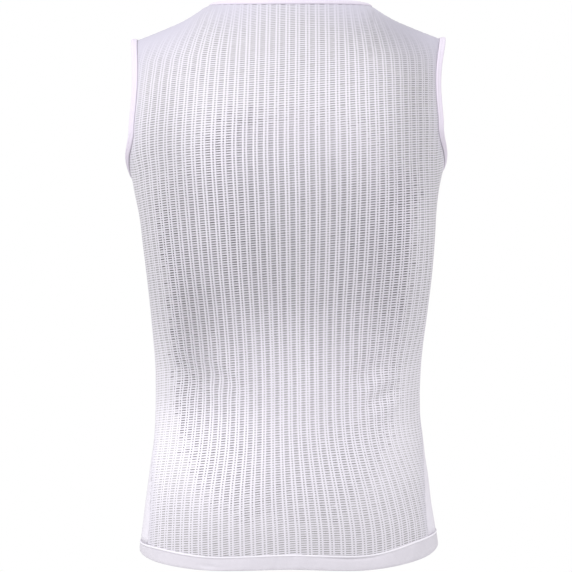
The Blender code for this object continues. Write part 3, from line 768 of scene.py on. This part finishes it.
def sew_along(piece, path, reach, face, far, out, thread):
    """Adds one line of short stitches to a band, each a small thread lying in the channel."""
    line = path + reach * far + face * out
    steps = np.linalg.norm(np.roll(line, -1, axis=0) - line, axis=1)
    run = np.concatenate([[0], np.cumsum(steps)])
    closed = np.vstack([line, line[:1]])
    outs = np.vstack([face, face[:1]])
    count = int(run[-1] / STITCH_PITCH)
    net = bmesh.new()
    net.from_mesh(piece.data)
    slot_of = len(piece.data.materials)
    for stitch in range(count):
        at = run[-1] * stitch / count
        spot = Vector([np.interp(at, run, closed[:, k]) for k in range(3)])
        ahead = Vector([np.interp(at + 0.5, run, closed[:, k]) for k in range(3)])
        away = Vector([np.interp(at, run, outs[:, k]) for k in range(3)])
        along = (ahead - spot).normalized()
        side = along.cross(away).normalized()
        away = side.cross(along)
        size = (STITCH_LONG / 2, STITCH_THICK, STITCH_THICK)
        turn = Matrix([along, side, away]).transposed().to_4x4()
        spot = (spot + Vector((0, 0, TOP_OVER_SHOULDERS))) * MM
        seat = Matrix.Translation(spot) @ turn @ Matrix.Diagonal((*[k * MM for k in size], 1))
        made = bmesh.ops.create_icosphere(net, subdivisions=1, radius=1, matrix=seat)
        for corner in made["verts"]:
            for part in corner.link_faces:
                part.material_index = slot_of
                part.smooth = True
    net.to_mesh(piece.data)
    net.free()
    piece.data.materials.append(thread)


def armhole_edge(side, per_panel=110):
    sign = 1 if side == "left" else -1
    bottom = yoke_station(ARMHOLE_BOTTOM)
    turn = np.linspace(0, math.pi / 2, per_panel // 2, endpoint=False)
    rise = np.concatenate([bottom + (1 - bottom) * (1 - np.cos(turn)),
                           np.linspace(1, 2, per_panel // 2 + 1)])
    pieces = []
    for panel, stations in (("back", rise[::-1]), ("front", rise[1:-1])):
        seam = panel_point(panel, sign, stations)
        to_cloth = panel_point(panel, sign * (1 - INSIDE_STEP), stations) - seam
        pieces.append((seam, panel_normal(panel, sign, stations), to_cloth))
    return ring_of_edge(pieces)


def neck_edge(per_panel=110):
    pieces = []
    for panel in ("back", "front"):
        edge = float(edge_turn(panel, YOKE))
        corner = {side: math.asin(NECK_HALF[side] / SHOULDER_TIP * math.sin(edge)) / edge
                  for side in NECK_HALF}
        sweep = np.linspace(-CORNER_SWEEP, CORNER_SWEEP, per_panel + 1)
        share = np.sin(sweep) / math.sin(CORNER_SWEEP)
        u = np.where(share > 0, share * corner["left"], share * corner["right"])
        if panel == "front":
            u = u[-2:0:-1]
        seam = panel_point(panel, u, 2.0)
        to_cloth = panel_point(panel, u, 2 - INSIDE_STEP) - seam
        pieces.append((seam, panel_normal(panel, u, 2.0), to_cloth))
    return ring_of_edge(pieces)


binding_knit = knit_material("binding_knit", BINDING, (1.3, 0.9), groove_shade=0.92, raised=0.12)
# Painted shade on the ditch's floor
binding_ditch_painted_shade = knit_material("binding_ditch_painted_shade", DITCH_PAINTED_SHADE, (1.3, 0.9), groove_shade=0.8, raised=0.1)
sewing_thread = knit_material("sewing_thread", THREAD, (0.4, 0.4), raised=0.05)
for side in ("left", "right"):
    path, outward, to_cloth = armhole_edge(side)
    height = path[:, 2]
    share = ease((height - height.min()) / UNDERARM_REACH)
    flare = (UNDERARM_FLARE + (ARMHOLE_FLARE - UNDERARM_FLARE) * share)[:, None]
    reach, face = band_frame(path, outward, to_cloth, flare)
    ditches = DITCH_UNDERARM + (DITCH_FULL - DITCH_UNDERARM) * ease(share * 2 - 1)
    binding = sweep_band("armhole_trim_" + side, path, reach, face,
                         binding_section(ARMHOLE_BINDING, 0.0, ditches))
    binding.data.materials.append(binding_knit)
    binding.data.materials.append(binding_ditch_painted_shade)
    sew_along(binding, path, reach, face, ARMHOLE_BINDING / 2, STITCH_OUT, sewing_thread)
    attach(binding, "root")
    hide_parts("armhole_binding_" + side)
path, outward, to_cloth = neck_edge()
reach, face = band_frame(path, outward, to_cloth, NECK_FLARE)
ditches = np.full(len(path), DITCH_FULL)
neck_trim = sweep_band("neck_trim", path, reach, face,
                       binding_section(NECK_BINDING, NECK_LAP, ditches))
neck_trim.data.materials.append(binding_knit)
neck_trim.data.materials.append(binding_ditch_painted_shade)
sew_along(neck_trim, path, reach, face, (NECK_BINDING - NECK_LAP) / 2, STITCH_OUT, sewing_thread)
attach(neck_trim, "root")
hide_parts("neck_binding")

# --- Hem band -----------------------------------------------------------------------------------
# Doubled smooth knit turned up at the bottom, with the raised ridge of its seam along the top.
HEM_STATIONS = 420
HEM_KNIT = (0.80, 0.765, 0.84)
turns = np.linspace(-math.pi, math.pi, HEM_STATIONS, endpoint=False)
heights = np.full_like(turns, HEM_SEAM)
x, y = body_point(heights, turns)
x_below, y_below = body_point(heights - 1, turns)
up_cloth = np.stack([x - x_below, y - y_below, np.ones_like(turns)], axis=-1)
ahead = body_point(heights, turns + 0.01)
along = np.stack([ahead[0] - x, ahead[1] - y, np.zeros_like(turns)], axis=-1)
hem_path = hung(x, y, heights, turns)
reach, face = band_frame(hem_path, -unit(np.cross(along, up_cloth)), up_cloth, 0.0)
hem_tall = HEM_SEAM - HEM_BOTTOM + hem_shift(turns, "seam") - hem_shift(turns, "bottom")


# The seam's ridge is high on the left. Under it the band is drawn in along a fold at the right
# of the back, and has a pucker near its edge at the left. Each fold has its turn and half width
# in degrees, its place down the band, its half height and its depth in mm.
RIDGE_BY_TURN = ((-180, -40, -5, 25, 60, 85, 180), (1.5, 1.45, 1.6, 2.0, 2.2, 1.7, 1.5))
RIDGE_STRIPS, RIDGE_END, EDGE_ROLL = 3, 3.4, 1.6
# The ridge's strips are painted paler than the band: a painted highlight along the ridge
RIDGE_PAINTED_HIGHLIGHT = (0.90, 0.87, 0.94)
FOLDS = ((-24, 13, 3.9, 1.1, 1.5), (31, 3.2, 11.5, 2.2, 1.2), (27, 2.2, 9.6, 1.4, -0.7))
PUCKER = 0.16
pucker = chance.standard_normal(HEM_STATIONS)
pucker = np.convolve(np.tile(pucker, 3), np.hanning(7), "same")[HEM_STATIONS:2 * HEM_STATIONS]


def hem_section(station):
    tall = hem_tall[station]
    turn = math.degrees(turns[station])
    ridge = float(np.interp(turn, *RIDGE_BY_TURN))
    outline = [(0.15, 0.7), (0.7, ridge * 0.9), (1.4, ridge), (2.1, ridge * 0.85), (2.7, 0.9)]
    for share in (0.0, 0.12, 0.25, 0.4, 0.55, 0.7, 0.85):
        far = RIDGE_END + (tall - RIDGE_END - EDGE_ROLL) * share
        out = 1.0 + PUCKER * pucker[station] * (0.4 + share)
        for middle, wide, deep_at, tall_half, deep in FOLDS:
            out -= deep * math.exp(-((turn - middle) / wide) ** 2 - ((far - deep_at) / tall_half) ** 2)
        outline.append((far, out))
    outline += [(tall - 0.9, 0.9), (tall - 0.2, 0.45), (tall, -0.1), (tall - 0.3, -0.7),
                (tall - 1.4, -1.0), (tall * 0.5, -1.0), (0.15, -1.0)]
    return outline


hem_trim = sweep_band("hem_trim", hem_path, reach, face, hem_section, RIDGE_STRIPS)
hem_trim.data.materials.append(knit_material("hem_knit", HEM_KNIT, (2.6, 1.4), groove_shade=0.74))
# Painted highlight on the seam's ridge
hem_trim.data.materials.append(knit_material("hem_ridge_painted_highlight", RIDGE_PAINTED_HIGHLIGHT, (2.6, 1.4), groove_shade=0.94))
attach(hem_trim, "root")
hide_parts("hem_band")

# --- Floor, light and camera --------------------------------------------------------------------
# A pale round floor far under the garment, a white room, one large soft light from above and
# behind, and two weak ones from the sides.
FLOOR, FLOOR_RADIUS = -1.35, 2.8
FLOOR_TONE, FLOOR_ROUGH = 0.85, 0.9
ROOM_LIGHT = 0.62
floor_net = bmesh.new()
bmesh.ops.create_circle(floor_net, cap_ends=True, segments=96, radius=FLOOR_RADIUS)
bmesh.ops.translate(floor_net, verts=floor_net.verts, vec=(0, 0, FLOOR))
floor_mesh = bpy.data.meshes.new("floor")
floor_net.to_mesh(floor_mesh)
floor_net.free()
floor = bpy.data.objects.new("floor", floor_mesh)
bpy.context.scene.collection.objects.link(floor)
floor_paint = bpy.data.materials.new("floor_paint")
floor_paint.use_nodes = True
floor_shader = floor_paint.node_tree.nodes["Principled BSDF"]
floor_shader.inputs["Base Color"].default_value = (FLOOR_TONE, FLOOR_TONE, FLOOR_TONE, 1)
floor_shader.inputs["Roughness"].default_value = FLOOR_ROUGH
floor_mesh.materials.append(floor_paint)

room = bpy.data.worlds.new("room")
bpy.context.scene.world = room
room.use_nodes = True
nodes, links = room.node_tree.nodes, room.node_tree.links
nodes["Background"].inputs["Color"].default_value = (1, 1, 1, 1)
nodes["Background"].inputs["Strength"].default_value = ROOM_LIGHT
seen = nodes.new("ShaderNodeBackground")
seen.inputs["Color"].default_value = (1, 1, 1, 1)
seen.inputs["Strength"].default_value = 1.0
ray = nodes.new("ShaderNodeLightPath")
either = nodes.new("ShaderNodeMixShader")
links.new(ray.outputs["Is Camera Ray"], either.inputs["Fac"])
links.new(nodes["Background"].outputs["Background"], either.inputs[1])
links.new(seen.outputs["Background"], either.inputs[2])
links.new(either.outputs["Shader"], nodes["World Output"].inputs["Surface"])
bpy.context.scene.view_settings.view_transform = "Standard"


def soft_light(name, place, target, size, watts):
    lamp = bpy.data.lights.new(name, "AREA")
    lamp.shape = "DISK"
    lamp.size = size
    lamp.energy = watts
    holder = bpy.data.objects.new(name, lamp)
    bpy.context.scene.collection.objects.link(holder)
    holder.location = place
    way = Vector(target) - Vector(place)
    holder.rotation_euler = way.to_track_quat("-Z", "Y").to_euler()
    return holder


soft_light("key", (0.94, 2.02, 1.70), (0, 0, -0.3), 1.6, 62)
soft_light("from_the_right", (-2.85, -0.25, -0.1), (0, 0, -0.35), 1.6, 20)
soft_light("from_the_left", (2.85, -0.25, -0.1), (0, 0, -0.35), 1.6, 8)

CAMERA_AT = (0.003, 1.750, -0.317)
LENS = 91.8
view = bpy.data.cameras.new("camera")
view.lens = LENS
view.sensor_width = 36.0
camera = bpy.data.objects.new("camera", view)
bpy.context.scene.collection.objects.link(camera)
camera.location = CAMERA_AT
camera.rotation_euler = (math.pi / 2, 0, math.pi)
bpy.context.scene.camera = camera
